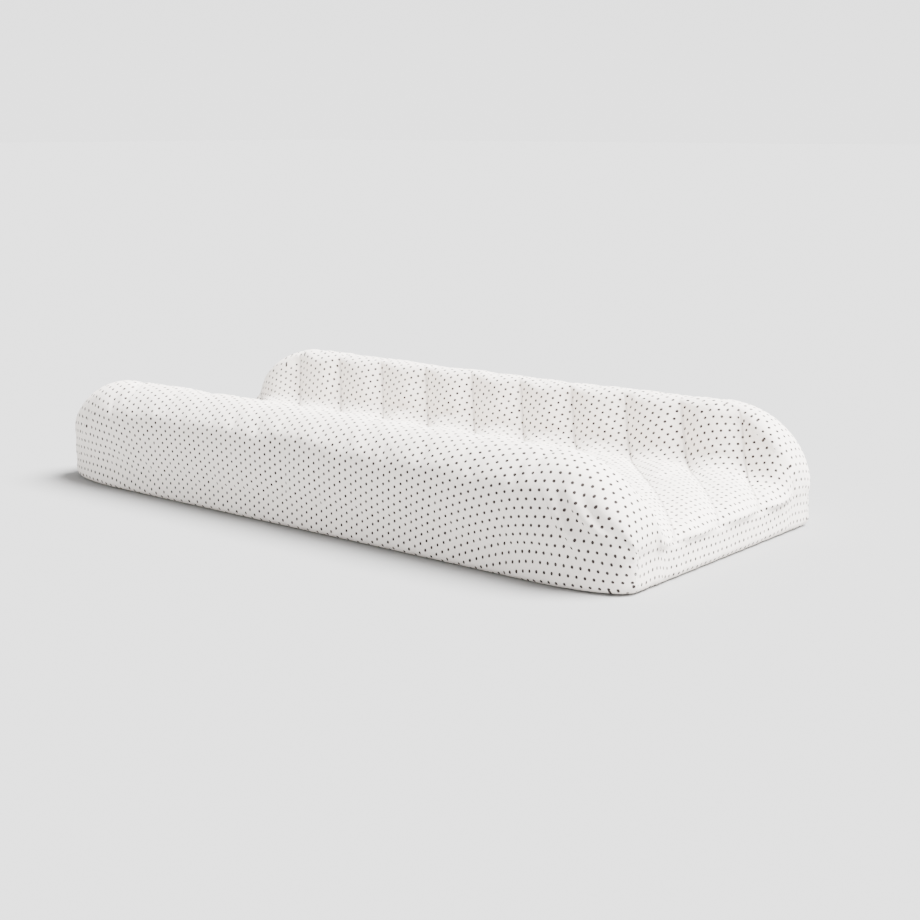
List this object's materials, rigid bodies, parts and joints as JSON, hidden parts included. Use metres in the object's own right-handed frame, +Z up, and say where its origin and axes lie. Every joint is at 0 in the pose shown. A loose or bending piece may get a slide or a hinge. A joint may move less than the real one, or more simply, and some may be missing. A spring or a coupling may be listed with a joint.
{
  "type": "contoured changing pad",
  "caption": "Contoured foam changing pad with a raised bolster along each long side, in a quilted waterproof cover and a fitted dotted cotton cover.",
  "frame": {"origin": "on the surface that the pad stands on, under the middle of the pad", "axes": "+X along the pad to its foot end, +Y to its back long side, +Z up"},
  "size_m": [0.813, 0.39, 0.125],
  "materials": {
    "cotton_print": "soft woven cotton, warm white with small dark dots",
    "quilted_vinyl": "satin wipe-clean coated fabric, quilted",
    "base_vinyl": "matt coated fabric",
    "foam": "open-cell foam",
    "piping": "satin piping",
    "grip_rubber": "matt dotted grip",
    "webbing": "woven polyester webbing",
    "belt_patch": "satin coated fabric",
    "buckle_plastic": "moulded, satin",
    "plated_metal": "nickel plated",
    "zipper_tape": "woven tape",
    "zipper_coil": "nylon coil",
    "elastic": "braided elastic",
    "label": "plain satin ribbon"
  },
  "bodies": {
    "pad": {"foam_core": "foam", "quilted_top": "quilted_vinyl", "base_panel": "base_vinyl", "edge_piping": "piping", "grip_strip_1": "grip_rubber", "grip_strip_2": "grip_rubber", "grip_strip_3": "grip_rubber", "anchor_tab_head": "webbing", "anchor_tab_foot": "webbing", "anchor_eyelet_head": "plated_metal", "anchor_eyelet_foot": "plated_metal", "zipper_tape_front": "zipper_tape", "zipper_tape_back": "zipper_tape", "zipper_coil_front": "zipper_coil", "zipper_coil_back": "zipper_coil", "zipper_top_stop_front": "plated_metal", "zipper_top_stop_back": "plated_metal", "zipper_bottom_stop": "plated_metal", "belt_patch_front": "belt_patch", "belt_patch_back": "belt_patch", "belt_strap_front": "webbing", "belt_strap_back": "webbing", "buckle_socket": "buckle_plastic"},
    "cover": {"fitted_cover": "cotton_print", "cover_hem": "cotton_print", "hem_elastic": "elastic", "care_label": "label"},
    "plug": {"buckle_plug": "buckle_plastic"},
    "arm_left": {"buckle_arm_left": "buckle_plastic"},
    "arm_right": {"buckle_arm_right": "buckle_plastic"},
    "slider": {"zipper_slider": "plated_metal"},
    "pull": {"zipper_pull": "plated_metal"}
  },
  "joints": [
    {"name": "cover_lift", "type": "slide", "parent": "pad", "child": "cover", "axis": [0, 0, 1], "range_m": [0, 0.16], "deforming": ["cover_hem", "hem_elastic", "care_label"]},
    {"name": "buckle_release", "type": "slide", "parent": "pad", "child": "plug", "axis": [0, 1, 0], "range_m": [0, 0.03], "deforming": ["belt_strap_back"]},
    {"name": "arm_press_right", "type": "hinge", "parent": "plug", "child": "arm_right", "pos_m": [0.03, 0.007, 0.0533], "axis": [0, 0, -1], "range_deg": [0, 8], "stiffness_Nm_per_rad": 0.02},
    {"name": "arm_press_left", "type": "hinge", "parent": "plug", "child": "arm_left", "pos_m": [0.01, 0.007, 0.0533], "axis": [0, 0, 1], "range_deg": [0, 8], "stiffness_Nm_per_rad": 0.02},
    {"name": "zip_travel", "type": "slide", "parent": "pad", "child": "slider", "axis": [-1, 0, 0], "range_m": [0, 0.54], "deforming": ["zipper_tape_front", "zipper_tape_back", "zipper_coil_front", "zipper_coil_back"]},
    {"name": "pull_swing", "type": "hinge", "parent": "slider", "child": "pull", "pos_m": [0.2805, -0.1, 0.0009], "axis": [0, -1, 0], "range_deg": [0, 90]}
  ],
  "couplings": [
    {"joint": "arm_press_left", "follows": "arm_press_right", "ratio": 1}
  ]
}
